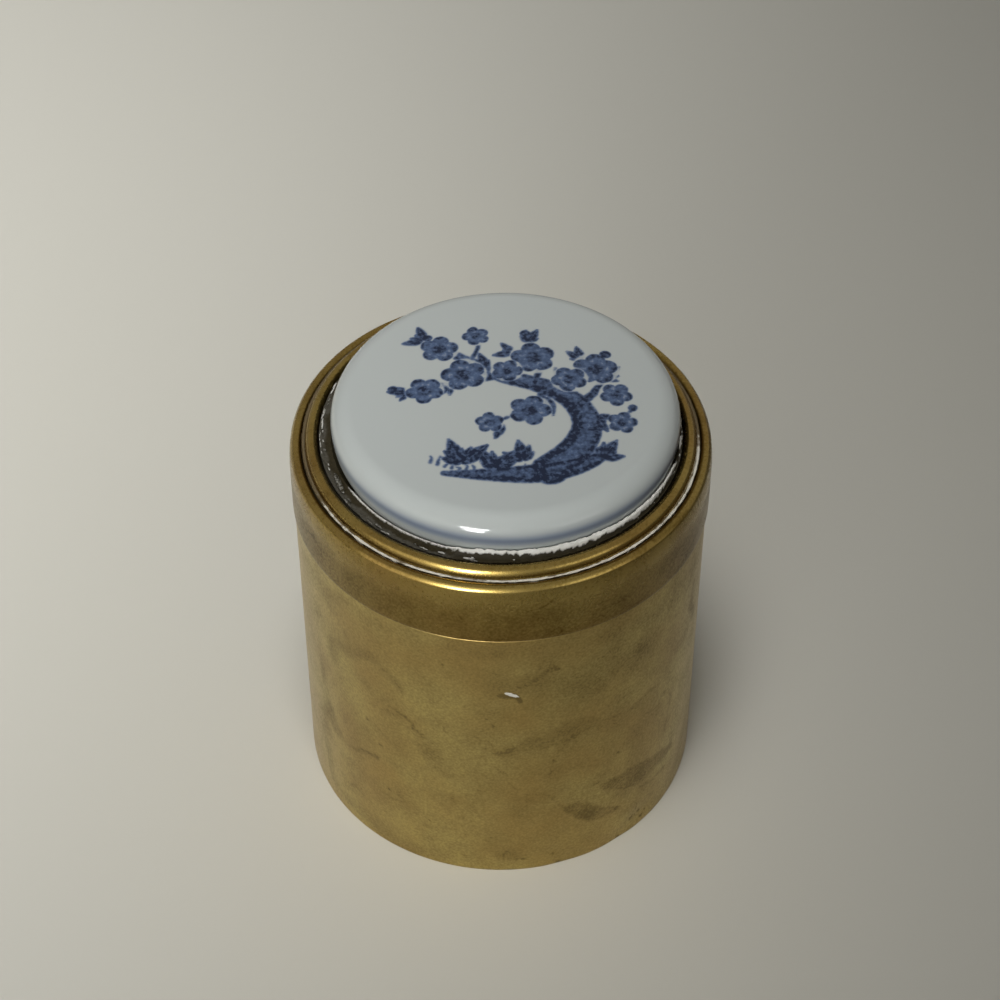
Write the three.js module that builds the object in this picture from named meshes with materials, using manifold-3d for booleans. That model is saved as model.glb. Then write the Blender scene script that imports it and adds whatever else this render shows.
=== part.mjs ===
// A small round box of sheet brass with a lift-off lid and a porcelain plaque set in the lid.
// Millimetres, +Z up, origin at the middle of the circle that the foot stands on.
import * as THREE from "three";
import { mergeVertices } from "three/addons/utils/BufferGeometryUtils.js";
import Module from "manifold-3d";

// Body: a tube of sheet brass, with a flat disc soldered in a little above its foot.
const BODY_DIAMETER = 64;
const BODY_HEIGHT = 56;
const BODY_SHEET = 0.8;
const BASE_SHEET = 1;
const BASE_RECESS = 0.6;
const BASE_FILLET = 1.5;

// Neck collar: a sleeve soldered inside the mouth, over which the lid slides.
const NECK_SHEET = 0.8;
const NECK_INSIDE_BODY = 9;
const NECK_TOP_CLEARANCE = 1.2;
const NECK_LEAD_IN = 0.35;

// Lid: an upright skirt with a flat plate inside its top edge.
const LID_SLIDE_CLEARANCE = 0.2;
const LID_SEAT_GAP = 0.2;
const SKIRT_SHEET = 1;
const SKIRT_HEIGHT = 10.1;
const LID_PLATE_SHEET = 0.8;

// Mouldings on the lid: rings of flat-backed wire with a rounded top, and the groove between them.
const RIM_WIDTH = 2;
const RIM_SIDE = 0.1;
const RIM_CROWN = 0.8;
const GROOVE_WIDTH = 0.45;
const GROOVE_SOLDER_HEIGHT = 0.7;
const BEZEL_WIDTH = 2.25;
const BEZEL_SIDE = 1.5;
const BEZEL_CROWN = 0.87;

// Plaque: a disc with a flat back, a fully rounded edge and a slightly domed face, set a little off centre.
const PLAQUE_EDGE_GAP = 1.14;
const PLAQUE_WAIST_HEIGHT = 4.1;
const PLAQUE_EDGE_RADIUS = 3.44;
const PLAQUE_DOME_RADIUS = 400;
const PLAQUE_BACK_ROUND = 1.6;
const PLAQUE_OFFSET_X = 0.7;
const PLAQUE_OFFSET_Y = 0.2;

// Cement under and round the plaque.
const CEMENT_BED = 0.6;
const CEMENT_HEIGHT = 2.5;

// The film of solder or cement between pieces that are joined, and the easing of every sheet edge.
const JOINT_FILM = 0.1;
const EDGE_EASE = 0.15;

// Facets round a full turn, along a moulding's crown, and along the plaque's edge and face.
const TURN_FACETS = 72;
const CROWN_FACETS = 8;
const EDGE_FACETS = 9;
const BACK_FACETS = 5;
const DOME_FACETS = 5;
const FILLET_FACETS = 4;
const SAME_POINT = 1e-3;

// Radii that follow from the fits, from the wall inwards and then out again to the lid.
const bodyRadius = BODY_DIAMETER / 2;
const boreRadius = bodyRadius - BODY_SHEET;
const neckRadius = boreRadius - JOINT_FILM;
const skirtInnerRadius = neckRadius + LID_SLIDE_CLEARANCE;
const skirtRadius = skirtInnerRadius + SKIRT_SHEET;
const rimInnerRadius = skirtRadius - RIM_WIDTH;
const bezelRadius = rimInnerRadius - GROOVE_WIDTH;
const bezelInnerRadius = bezelRadius - BEZEL_WIDTH;
const plaqueRadius = bezelInnerRadius - PLAQUE_EDGE_GAP;

// Heights: the body's from the foot, and the lid's from the lower edge of its skirt.
const baseTop = BASE_RECESS + BASE_SHEET;
const lidSeat = BODY_HEIGHT + LID_SEAT_GAP;
const lidPlateUnderside = SKIRT_HEIGHT - LID_PLATE_SHEET;
const neckTop = lidSeat + lidPlateUnderside - NECK_TOP_CLEARANCE;
const mouldingSeat = SKIRT_HEIGHT + JOINT_FILM;
const plaqueBack = mouldingSeat + CEMENT_BED + JOINT_FILM;

const BODY_BRASS = { color: 0xa08c50, roughness: 0.4, metalness: 1 };
const LID_BRASS = { color: 0x8c6c30, roughness: 0.25, metalness: 1 };
const INNER_BRASS = { color: 0x9c8048, roughness: 0.5, metalness: 1 };
const SOLDER = { color: 0xb9b7ae, roughness: 0.5, metalness: 0.8 };
const CEMENT = { color: 0x8d877a, roughness: 0.95, metalness: 0 };
const PORCELAIN = { color: 0xe6eaea, roughness: 0.12, metalness: 0 };

const wasm = await Module();
wasm.setup();

// The solid that a closed outline of [radius, height] pairs sweeps round the Z axis.
function turned(outline) {
  const points = outline.map(([radius, height]) => new THREE.Vector2(radius, height));
  return new THREE.LatheGeometry(points, TURN_FACETS).rotateX(Math.PI / 2);
}

// Points on an arc of the outline, from one angle to another, both ends included.
function arc(radius, height, acrossRadius, upRadius, from, to, facets) {
  return Array.from({ length: facets + 1 }, (_, step) => {
    const angle = THREE.MathUtils.lerp(from, to, step / facets);
    return [radius + acrossRadius * Math.cos(angle), height + upRadius * Math.sin(angle)];
  });
}

// A ring of sheet metal with eased edges.
function sheetRing(inner, outer, low, high, outerTopEase = EDGE_EASE) {
  const outline = [
    [inner + EDGE_EASE, low],
    [outer - EDGE_EASE, low],
    [outer, low + EDGE_EASE],
    [outer, high - outerTopEase],
    [outer - outerTopEase, high],
    [inner + EDGE_EASE, high],
    [inner, high - EDGE_EASE],
    [inner, low + EDGE_EASE],
  ];
  return turned([...outline, outline[0]]);
}

// A disc of sheet metal with eased edges.
function sheetDisc(radius, low, high) {
  return turned([
    [0, low],
    [radius - EDGE_EASE, low],
    [radius, low + EDGE_EASE],
    [radius, high - EDGE_EASE],
    [radius - EDGE_EASE, high],
    [0, high],
  ]);
}

// A ring of moulding wire: flat back, upright sides and a rounded crown.
function mouldingRing(inner, width, side, crown) {
  const spring = mouldingSeat + side;
  const outline = [
    [inner, mouldingSeat],
    [inner + width, mouldingSeat],
    ...arc(inner + width / 2, spring, width / 2, crown, 0, Math.PI, CROWN_FACETS),
  ];
  return turned([...outline, outline[0]]);
}

// Solder drawn into the corner between the base and the wall, hollow like any fillet.
function baseFillet() {
  const outer = boreRadius - JOINT_FILM;
  const low = baseTop + JOINT_FILM;
  const inner = outer - BASE_FILLET;
  const outline = [
    [outer, low],
    ...arc(inner, low + BASE_FILLET, BASE_FILLET, BASE_FILLET, 0, -Math.PI / 2, FILLET_FACETS),
  ];
  return turned([...outline, outline[0]]);
}

// Solder that has run round the groove between the two mouldings.
function grooveFill() {
  const outline = [
    [bezelRadius + JOINT_FILM, mouldingSeat],
    [rimInnerRadius - JOINT_FILM, mouldingSeat],
    [rimInnerRadius - JOINT_FILM, mouldingSeat + GROOVE_SOLDER_HEIGHT],
    [bezelRadius + JOINT_FILM, mouldingSeat + GROOVE_SOLDER_HEIGHT],
  ];
  return turned([...outline, outline[0]]);
}

// The rounded underside of the plaque, from its flat back out to its widest part, grown by a margin.
function plaqueUnderside(margin) {
  const across = PLAQUE_BACK_ROUND + margin;
  const up = PLAQUE_WAIST_HEIGHT + margin;
  const centre = plaqueRadius - PLAQUE_BACK_ROUND;
  return arc(centre, PLAQUE_WAIST_HEIGHT, across, up, -Math.PI / 2, 0, BACK_FACETS);
}

// The plaque: its round edge runs into the dome where both have the same slope.
function plaqueDisc() {
  const radius = PLAQUE_EDGE_RADIUS;
  const edgeCentre = plaqueRadius - radius;
  const meeting = Math.acos(edgeCentre / (PLAQUE_DOME_RADIUS - radius));
  const domeCentre = PLAQUE_WAIST_HEIGHT - Math.tan(meeting) * edgeCentre;
  const edge = arc(edgeCentre, PLAQUE_WAIST_HEIGHT, radius, radius, 0, meeting, EDGE_FACETS);
  const dome = arc(0, domeCentre, PLAQUE_DOME_RADIUS, PLAQUE_DOME_RADIUS, meeting, Math.PI / 2, DOME_FACETS);
  return turned([
    [0, 0],
    ...plaqueUnderside(0),
    ...edge.slice(1),
    ...dome.slice(1, -1),
    [0, domeCentre + PLAQUE_DOME_RADIUS],
  ]);
}

// A closed geometry as a solid that can be cut, and back again.
function toSolid(geometry) {
  const bare = geometry.clone();
  bare.deleteAttribute("normal");
  bare.deleteAttribute("uv");
  const merged = mergeVertices(bare, SAME_POINT);
  const vertProperties = merged.attributes.position.array;
  const triVerts = new Uint32Array(merged.index.array);
  return new wasm.Manifold(new wasm.Mesh({ numProp: 3, vertProperties, triVerts }));
}

function toGeometry(solid) {
  const { vertProperties, triVerts } = solid.getMesh();
  const geometry = new THREE.BufferGeometry();
  geometry.setAttribute("position", new THREE.BufferAttribute(vertProperties, 3));
  geometry.setIndex(new THREE.BufferAttribute(triVerts, 1));
  geometry.computeVertexNormals();
  return geometry;
}

// Cement: fills the bezel, less the pocket that the plaque was pressed into.
function cementBed() {
  const radius = bezelInnerRadius - JOINT_FILM;
  const top = mouldingSeat + CEMENT_HEIGHT;
  const block = turned([
    [0, mouldingSeat],
    [radius, mouldingSeat],
    [radius, top],
    [0, top],
  ]);
  const pocket = turned([
    [0, -JOINT_FILM],
    ...plaqueUnderside(JOINT_FILM),
    [0, PLAQUE_WAIST_HEIGHT],
  ]).translate(PLAQUE_OFFSET_X, PLAQUE_OFFSET_Y, plaqueBack);
  return toGeometry(toSolid(block).subtract(toSolid(pocket)));
}

function piece(name, geometry, finish) {
  const mesh = new THREE.Mesh(geometry, new THREE.MeshStandardMaterial(finish));
  mesh.name = name;
  return mesh;
}

const body = new THREE.Group();
body.add(
  piece("body_wall", sheetRing(boreRadius, bodyRadius, 0, BODY_HEIGHT), BODY_BRASS),
  piece("base_plate", sheetDisc(boreRadius - JOINT_FILM, BASE_RECESS, baseTop), INNER_BRASS),
  piece("base_solder", baseFillet(), SOLDER),
  piece(
    "neck_collar",
    sheetRing(neckRadius - NECK_SHEET, neckRadius, BODY_HEIGHT - NECK_INSIDE_BODY, neckTop, NECK_LEAD_IN),
    INNER_BRASS,
  ),
);

const plaque = piece("porcelain_plaque", plaqueDisc(), PORCELAIN);
plaque.position.set(PLAQUE_OFFSET_X, PLAQUE_OFFSET_Y, plaqueBack);

const lid = new THREE.Group();
lid.position.z = lidSeat;
lid.add(
  piece("lid_skirt", sheetRing(skirtInnerRadius, skirtRadius, 0, SKIRT_HEIGHT), LID_BRASS),
  piece("lid_plate", sheetDisc(skirtInnerRadius - JOINT_FILM, lidPlateUnderside, SKIRT_HEIGHT), INNER_BRASS),
  piece("rim_moulding", mouldingRing(rimInnerRadius, RIM_WIDTH, RIM_SIDE, RIM_CROWN), LID_BRASS),
  piece("bezel_ring", mouldingRing(bezelInnerRadius, BEZEL_WIDTH, BEZEL_SIDE, BEZEL_CROWN), LID_BRASS),
  piece("groove_solder", grooveFill(), SOLDER),
  piece("plaque_cement", cementBed(), CEMENT),
  plaque,
);

const container = new THREE.Group();
container.add(body, lid);

export default container;
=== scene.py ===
"""The looks of a small round brass box with a porcelain plaque set in its lift-off lid."""

import math

import bmesh
import bpy
import numpy as np
from mathutils import Euler, Matrix, Vector


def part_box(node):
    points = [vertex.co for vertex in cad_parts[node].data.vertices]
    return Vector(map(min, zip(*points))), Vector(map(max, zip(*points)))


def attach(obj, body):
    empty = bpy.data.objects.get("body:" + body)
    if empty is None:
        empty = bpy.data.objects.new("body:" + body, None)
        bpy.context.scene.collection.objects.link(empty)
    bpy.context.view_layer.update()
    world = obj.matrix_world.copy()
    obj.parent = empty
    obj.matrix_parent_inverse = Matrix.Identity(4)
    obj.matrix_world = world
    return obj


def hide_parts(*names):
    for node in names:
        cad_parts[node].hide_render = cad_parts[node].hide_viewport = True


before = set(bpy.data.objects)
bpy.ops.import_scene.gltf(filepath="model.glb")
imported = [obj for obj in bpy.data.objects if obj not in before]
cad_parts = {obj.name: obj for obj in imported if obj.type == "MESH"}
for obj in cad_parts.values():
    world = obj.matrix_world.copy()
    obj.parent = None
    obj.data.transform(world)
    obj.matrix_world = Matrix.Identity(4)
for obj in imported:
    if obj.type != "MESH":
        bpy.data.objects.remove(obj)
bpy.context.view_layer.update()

bl_info = {
    "name": "Lidded Brass Box",
    "version": (1, 0, 0),
    "blender": (4, 5, 0),
    "location": "3D View > Sidebar > Brass Box",
    "description": "Builds a round brass box with a porcelain plaque in its lid",
    "category": "Add Mesh",
}

MM = 0.001

# Facets round a full turn, from plain to finely marked pieces, the wedges that a turn is made from, and the
# steps in an eased edge and in a ring's crown.
TURN_STEPS = 288
FINE_STEPS = 432
WALL_STEPS = 576
CRUMB_STEPS = 936
WEDGES = 12
EASE_STEPS = 3
CROWN_STEPS = 28
# The edge easing of all sheet metal, and the longest cells on surfaces that carry marks.
EDGE_EASE = 0.18 * MM
DENT_CELL = 0.45 * MM
WALL_CELL = 0.37 * MM
CRUMB_CELL = 0.11 * MM
ARC_CELL = 0.08 * MM
# Points nearer than this are one, and corners sharper than this aren't shaded smooth.
SAME_POINT = 1e-7
SHARP_CORNER = math.radians(50)


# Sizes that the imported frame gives


def extent(node):
    """The outer radius of a turned node, and the heights of its foot and top, in metres."""
    low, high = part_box(node)
    return (high.x - low.x) / 2, low.z, high.z


def centre(node):
    """The middle of a node seen from above, in metres."""
    low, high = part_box(node)
    return (low + high).xy / 2


# Colours


def linear(hex_colour):
    """An sRGB hex colour as linear red, green and blue."""
    channels = [int(hex_colour[i:i + 2], 16) / 255 for i in (1, 3, 5)]
    return [c / 12.92 if c <= 0.04045 else ((c + 0.055) / 1.055) ** 2.4 for c in channels]


def colour_property(name, description, hex_colour):
    """A colour that a user can change, written as sRGB hex."""
    return bpy.props.FloatVectorProperty(
        name=name, description=description, subtype="COLOR", min=0, max=1, default=linear(hex_colour)
    )


def length_property(name, description, millimetres):
    """A length that a user can change, written in millimetres."""
    return bpy.props.FloatProperty(
        name=name, description=description, unit="LENGTH", min=0, default=millimetres * MM
    )


def share_property(name, description, share):
    """A share from 0 to 1 that a user can change."""
    return bpy.props.FloatProperty(
        name=name, description=description, subtype="FACTOR", min=0, max=1, default=share
    )


def power_property(name, description, watts):
    """A lamp's power that a user can change, in watts."""
    return bpy.props.FloatProperty(
        name=name, description=description, subtype="POWER", min=0, default=watts
    )


class BodySettings(bpy.types.PropertyGroup):
    """Sizes and finish of the wall, the base and the neck collar."""

    sheet: length_property("Sheet", "Thickness of the wall's sheet brass", 0.8)
    neck_sheet: length_property("Neck sheet", "Thickness of the neck collar", 0.8)
    fillet: length_property("Solder fillet", "Leg of the solder run inside the base", 1.5)
    waviness: length_property("Waviness", "How far the hand-rolled wall strays from a true round", 0.03)
    clean: colour_property("Clean brass", "Rubbed sheet brass where it is bright", "#BEAA6A")
    warm: colour_property("Warm brass", "Patches of sheet brass that have turned orange", "#B0965A")
    tarnish_and_shade: colour_property("Tarnish", "Brass where it has dulled", "#75633A")
    roughness: share_property("Roughness", "Roughness of the rubbed wall", 0.33)
    inner: colour_property("Inner brass", "Brass inside, which nobody polishes", "#9A8148")


class LidSettings(bpy.types.PropertyGroup):
    """Sizes and finish of the lid's skirt and mouldings."""

    sheet: length_property("Sheet", "Thickness of the skirt", 1.0)
    rim_width: length_property("Rim width", "Width of the outer moulding", 2.0)
    rim_crown: length_property("Rim crown", "Height of the outer moulding's rounding", 0.88)
    bezel_width: length_property("Bezel width", "Width of the ring round the plaque", 2.25)
    bezel_crown: length_property("Bezel crown", "Height of the rounding on the ring round the plaque", 1.75)
    clean: colour_property("Clean brass", "Handled brass where it is bright", "#A28C50")
    warm: colour_property("Warm brass", "Patches of handled brass that have turned orange", "#957A44")
    tarnish_and_shade: colour_property("Tarnish", "Brass where it has browned", "#5A4514")
    roughness: share_property("Roughness", "Roughness of the handled lid", 0.26)
    solder: colour_property("Solder", "Soft solder in the joints", "#6A5D45")
    polish: colour_property("Dried polish", "Chalky polish left in the groove", "#CFCCC0")


class PlaqueSettings(bpy.types.PropertyGroup):
    """Sizes and colours of the plaque and of what holds it."""

    edge_radius: length_property("Edge radius", "Radius of the face's rounded edge", 3.44)
    waist_height: length_property("Waist height", "Height of the plaque's widest part above its back", 4.1)
    back_round: length_property("Back round", "How far the rounding of the plaque's back reaches in", 1.6)
    rim_line_width: length_property("Rim line width", "Width of the blue line round the widest part", 1.8)
    glaze: colour_property("Glaze", "Bluish-white glazed porcelain", "#B2B7B4")
    wash: colour_property("Pale cobalt", "Thin cobalt under the glaze", "#4F6282")
    cobalt: colour_property("Dark cobalt", "Thick cobalt under the glaze", "#0B1B36")
    plaster: colour_property("Plaster", "Broken white filler", "#D2D0C8")
    grime: colour_property("Grime", "Dark filler and dirt in the gap", "#302B1E")


class StageSettings(bpy.types.PropertyGroup):
    """The floor, the light and the camera."""

    floor: colour_property("Floor", "Plain pale floor", "#C2C0B6")
    lens: bpy.props.FloatProperty(
        name="Lens", description="Focal length on a 36 mm sensor", subtype="DISTANCE_CAMERA", default=90.06
    )
    window: power_property("Window", "Power of the window", 6.5)
    curtain: power_property("Curtain", "Power of the broad glow left of the window", 1.8)
    front: power_property("Front light", "Power of the soft light from the window's side", 2.4)
    side: power_property("Side light", "Power of the dim window on the right", 0.5)
    ceiling: power_property("Ceiling light", "Power of the soft light from above on the left", 1.58)


class BoxSettings(bpy.types.PropertyGroup):
    """Everything that a user can change on the box."""

    body: bpy.props.PointerProperty(type=BodySettings)
    lid: bpy.props.PointerProperty(type=LidSettings)
    plaque: bpy.props.PointerProperty(type=PlaqueSettings)
    stage: bpy.props.PointerProperty(type=StageSettings)


# Mesh helpers


def turned(outline, cell=None, where=None, steps=TURN_STEPS, closed=True):
    """A bmesh spun round the Z axis from (radius, height, easing) corners.

    Edges of the outline whose middle passes the test are cut into cells.
    """
    mesh = bmesh.new()
    corners = [mesh.verts.new((radius, 0, height)) for radius, height, _ in outline]
    for start, end in zip(corners, corners[1:]):
        mesh.edges.new((start, end))
    if closed:
        mesh.edges.new((corners[-1], corners[0]))
    for (_, _, easing), corner in zip(outline, corners):
        if easing > 0:
            bmesh.ops.bevel(
                mesh, geom=[corner], offset=easing, offset_type="OFFSET", affect="VERTICES",
                segments=max(EASE_STEPS, math.ceil(easing / ARC_CELL)), profile=0.5, material=-1,
                clamp_overlap=True,
            )
    for edge in mesh.edges[:]:
        middle = (edge.verts[0].co + edge.verts[1].co) / 2
        if cell and where(middle) and edge.calc_length() > cell:
            bmesh.ops.subdivide_edges(mesh, edges=[edge], cuts=math.ceil(edge.calc_length() / cell) - 1)
    # One wedge is spun and then copied round, which is far quicker than a full spin.
    bmesh.ops.spin(
        mesh, geom=mesh.verts[:] + mesh.edges[:], cent=(0, 0, 0), axis=(0, 0, 1),
        angle=2 * math.pi / WEDGES, steps=steps // WEDGES,
    )
    wedge = mesh.verts[:] + mesh.edges[:] + mesh.faces[:]
    for step in range(1, WEDGES):
        copied = bmesh.ops.duplicate(mesh, geom=wedge)["geom"]
        turn = Matrix.Rotation(2 * math.pi * step / WEDGES, 3, "Z")
        moved = [item for item in copied if isinstance(item, bmesh.types.BMVert)]
        bmesh.ops.rotate(mesh, verts=moved, matrix=turn)
    return mended(mesh)


def disc(node):
    """A bmesh of a flat disc with eased edges, of a node's size."""
    radius, low, high = extent(node)
    return turned(
        [(0, low, 0), (radius, low, EDGE_EASE), (radius, high, EDGE_EASE), (0, high, 0)], closed=False
    )


def mended(mesh):
    """The bmesh with its seam and poles closed and its faces pointing outwards."""
    bmesh.ops.remove_doubles(mesh, verts=mesh.verts, dist=SAME_POINT)
    bmesh.ops.recalc_face_normals(mesh, faces=mesh.faces)
    return mesh


def finished(name, mesh, body, slot, material, *nodes):
    """The object of a bmesh, which rides on a body, takes a finish and stands for CAD nodes."""
    data = bpy.data.meshes.new(name)
    mesh.to_mesh(data)
    mesh.free()
    data.shade_smooth()
    data.set_sharp_from_angle(angle=SHARP_CORNER)
    data.materials.append(material)
    piece = bpy.data.objects.new(name, data)
    bpy.context.scene.collection.objects.link(piece)
    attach(piece, body)
    if nodes:
        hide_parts(*nodes)
    return piece


def places(piece):
    """The piece's vertices as an array of points, in metres."""
    points = np.empty(len(piece.data.vertices) * 3)
    piece.data.vertices.foreach_get("co", points)
    return points.reshape(-1, 3)


def move_to(piece, points):
    """Gives the piece's vertices new places."""
    piece.data.vertices.foreach_set("co", points.ravel())
    piece.data.update()


def paint(piece, name, values):
    """Stores one number for each vertex, for the piece's material to read."""
    layer = piece.data.attributes.new(name, "FLOAT", "POINT")
    layer.data.foreach_set("value", np.asarray(values, np.float32))


def smooth_step(low, high, values):
    """0 at low, 1 at high, and smooth between."""
    share = np.clip((values - low) / (high - low), 0, 1)
    return share * share * (3 - 2 * share)


def round_from_front(points):
    """How far round each point lies from the front, in degrees, with the right-hand side positive."""
    return np.degrees(np.arctan2(points[:, 0], -points[:, 1]))


def between(turns, angle):
    """1 between the middle two of four angles, 0 beyond the outer two, and smooth between."""
    start, full, fade, end = turns
    return smooth_step(start, full, angle) * smooth_step(end, fade, angle)


def from_axis(points):
    """How far each point lies from the Z axis."""
    return np.hypot(points[:, 0], points[:, 1])


def cloud(points, size, seed):
    """Smooth noise from about -1 to 1 at each point, with features of this size."""
    dice = np.random.default_rng(seed)
    waves = 48
    total = np.zeros(len(points))
    for _ in range(waves):
        way = dice.normal(size=3)
        way *= math.pi / (size * dice.uniform(0.7, 1.7) * np.linalg.norm(way))
        total += np.cos(points @ way + dice.uniform(0, 2 * math.pi))
    return total / math.sqrt(2 * waves)


def push_out(piece, distance):
    """Moves each vertex away from the Z axis by its own distance."""
    points = places(piece)
    points[:, :2] *= (1 + distance / np.maximum(from_axis(points), SAME_POINT))[:, None]
    move_to(piece, points)


# Brush strokes, drawn on a flat face in millimetres


def bent(path):
    """A path with its corners cut twice, so that it bends like a brush stroke."""
    path = np.array(path, float)
    for _ in range(2):
        near = path[:-1] * 0.75 + path[1:] * 0.25
        far = path[:-1] * 0.25 + path[1:] * 0.75
        cut = np.stack([near, far], 1).reshape(-1, path.shape[1])
        path = np.vstack([path[:1], cut, path[-1:]])
    return path


def stroke(face, path, soft):
    """How much of a brush drawn along (across, up, width) points lies on each point of a face."""
    laid = np.zeros(len(face))
    points = bent(path)
    reach = points[:, 2].max() / 2 + soft
    inside = (face > points[:, :2].min(0) - reach) & (face < points[:, :2].max(0) + reach)
    near = np.flatnonzero(inside.all(1))
    spots = face[near]
    for start, end in zip(points, points[1:]):
        along = end[:2] - start[:2]
        share = np.clip((spots - start[:2]) @ along / max(along @ along, SAME_POINT), 0, 1)
        gap = np.linalg.norm(spots - start[:2] - share[:, None] * along, axis=1)
        half = (start[2] + (end[2] - start[2]) * share) / 2
        laid[near] = np.maximum(laid[near], smooth_step(soft / 2, -soft / 2, gap - half))
    return laid


# Material helpers


def add_node(tree, kind, inputs=(), **settings):
    """Adds a node with its settings, and sets its inputs or links them to sockets or to other nodes."""
    node = tree.nodes.new("ShaderNode" + kind)
    for key, value in settings.items():
        setattr(node, key, value)
    for key, value in dict(inputs).items():
        if isinstance(value, bpy.types.Node):
            value = value.outputs[0]
        if isinstance(value, bpy.types.NodeSocket):
            tree.links.new(value, node.inputs[key])
        else:
            node.inputs[key].default_value = value
    return node


def new_material(name):
    """An empty material, with its node tree and the object's own coordinates."""
    material = bpy.data.materials.new(name)
    material.use_nodes = True
    tree = material.node_tree
    tree.nodes.clear()
    return material, tree, add_node(tree, "TexCoord").outputs["Object"]


def once(name, build, *values):
    """A material by its name, built when the first piece asks for it."""
    return bpy.data.materials.get(name) or build(name, *values)


def per_metre(millimetres):
    """The scale of a noise whose features are about this large."""
    return 1 / (millimetres * MM)


def opaque(colour):
    """A colour with full alpha, as a socket takes it."""
    return (*colour, 1)


# Sheet brass is rolled, then rubbed: a soft metal gloss, lined by rubbing, with orange clouds, dull blotches
# and a fine grain.
def brass_finish(name, clean, warm, tarnish_and_shade, roughness):
    """Brass sheet or wire, mottled by age."""
    material, tree, place = new_material(name)
    # The painted attribute darkens the brass. It holds the wall's own stains and specks, painted shade and
    # dark reflections on the wall and the mouldings, and the skirt's darker lower part.
    painted = add_node(tree, "Attribute", attribute_name="tarnish_and_shade").outputs["Fac"]
    wide = add_node(tree, "TexNoise", {"Vector": place, "Scale": per_metre(13), "Detail": 3})
    orange = add_node(tree, "MapRange", {0: wide, 1: 0.38, 2: 0.68})
    mottle = add_node(
        tree, "TexNoise",
        {"Vector": place, "Scale": per_metre(5), "Detail": 5, "Roughness": 0.6, "Distortion": 0.4},
    )
    dull = add_node(tree, "MapRange", {0: mottle, 1: 0.38, 2: 0.74, 3: 0.0, 4: 0.32})
    fine = add_node(tree, "TexNoise", {"Vector": place, "Scale": per_metre(0.4), "Detail": 4})
    grain = add_node(tree, "MapRange", {0: fine, 1: 0.3, 2: 0.75, 3: -0.2, 4: 0.36})
    both = add_node(tree, "Math", {0: dull, 1: grain}, operation="ADD")
    # Where drops dried they left thin lines: the places where a slow noise passes through its middle value.
    drops = add_node(
        tree, "TexNoise", {"Vector": place, "Scale": per_metre(11), "Detail": 3, "Distortion": 0.8}
    )
    level = add_node(tree, "Math", {0: drops, 1: 0.5}, operation="SUBTRACT")
    away = add_node(tree, "Math", {0: level}, operation="ABSOLUTE")
    thin = add_node(tree, "MapRange", {0: away, 1: 0.0, 2: 0.014, 3: 1.0, 4: 0.0})
    here = add_node(tree, "MapRange", {0: mottle, 1: 0.5, 2: 0.66, 3: 0.0, 4: 0.3})
    marked = add_node(tree, "Math", {0: thin, 1: here, 2: both}, operation="MULTIPLY_ADD")
    dulled_and_shaded = add_node(tree, "Math", {0: marked, 1: painted}, operation="ADD", use_clamp=True)
    sheet = add_node(tree, "Mix", {0: orange, 6: opaque(clean), 7: opaque(warm)}, data_type="RGBA")
    colour = add_node(tree, "Mix", {0: dulled_and_shaded, 6: sheet.outputs[2], 7: opaque(tarnish_and_shade)}, data_type="RGBA")
    gloss = add_node(tree, "MapRange", {0: dulled_and_shaded, 3: roughness - 0.03, 4: roughness + 0.14})
    # Rubbing runs round the box, so its lines are long in X and Y and fine in Z.
    lines = add_node(tree, "Mapping", {"Vector": place, "Scale": (1, 1, 9)})
    rub = add_node(tree, "TexNoise", {"Vector": lines, "Scale": per_metre(1.5), "Detail": 3})
    bump = add_node(tree, "Bump", {"Strength": 0.12, "Distance": 0.02 * MM, "Height": rub})
    shader = add_node(
        tree, "BsdfPrincipled",
        {"Base Color": colour.outputs[2], "Roughness": gloss, "Metallic": 1.0, "Normal": bump},
    )
    add_node(tree, "OutputMaterial", {0: shader})
    return material


# Soft solder is run in by hand and then caked with metal polish: dull grey metal under a matt white chalk.
def solder_finish(name, settings):
    """Soft solder, chalky where its piece is painted so."""
    material, tree, place = new_material(name)
    painted = add_node(tree, "Attribute", attribute_name="chalk").outputs["Fac"]
    lumps = add_node(tree, "TexNoise", {"Vector": place, "Scale": per_metre(0.8), "Detail": 4})
    uneven = add_node(tree, "Math", {0: lumps, 1: 1.2, 2: painted}, operation="MULTIPLY_ADD")
    chalk = add_node(tree, "MapRange", {0: uneven, 1: 0.85, 2: 1.25})
    colour = add_node(
        tree, "Mix", {0: chalk, 6: opaque(settings.solder), 7: opaque(settings.polish)}, data_type="RGBA"
    )
    metal = add_node(tree, "MapRange", {0: chalk, 3: 0.3, 4: 0.0})
    shader = add_node(
        tree, "BsdfPrincipled", {"Base Color": colour.outputs[2], "Roughness": 0.55, "Metallic": metal}
    )
    add_node(tree, "OutputMaterial", {0: shader})
    return material


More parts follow.
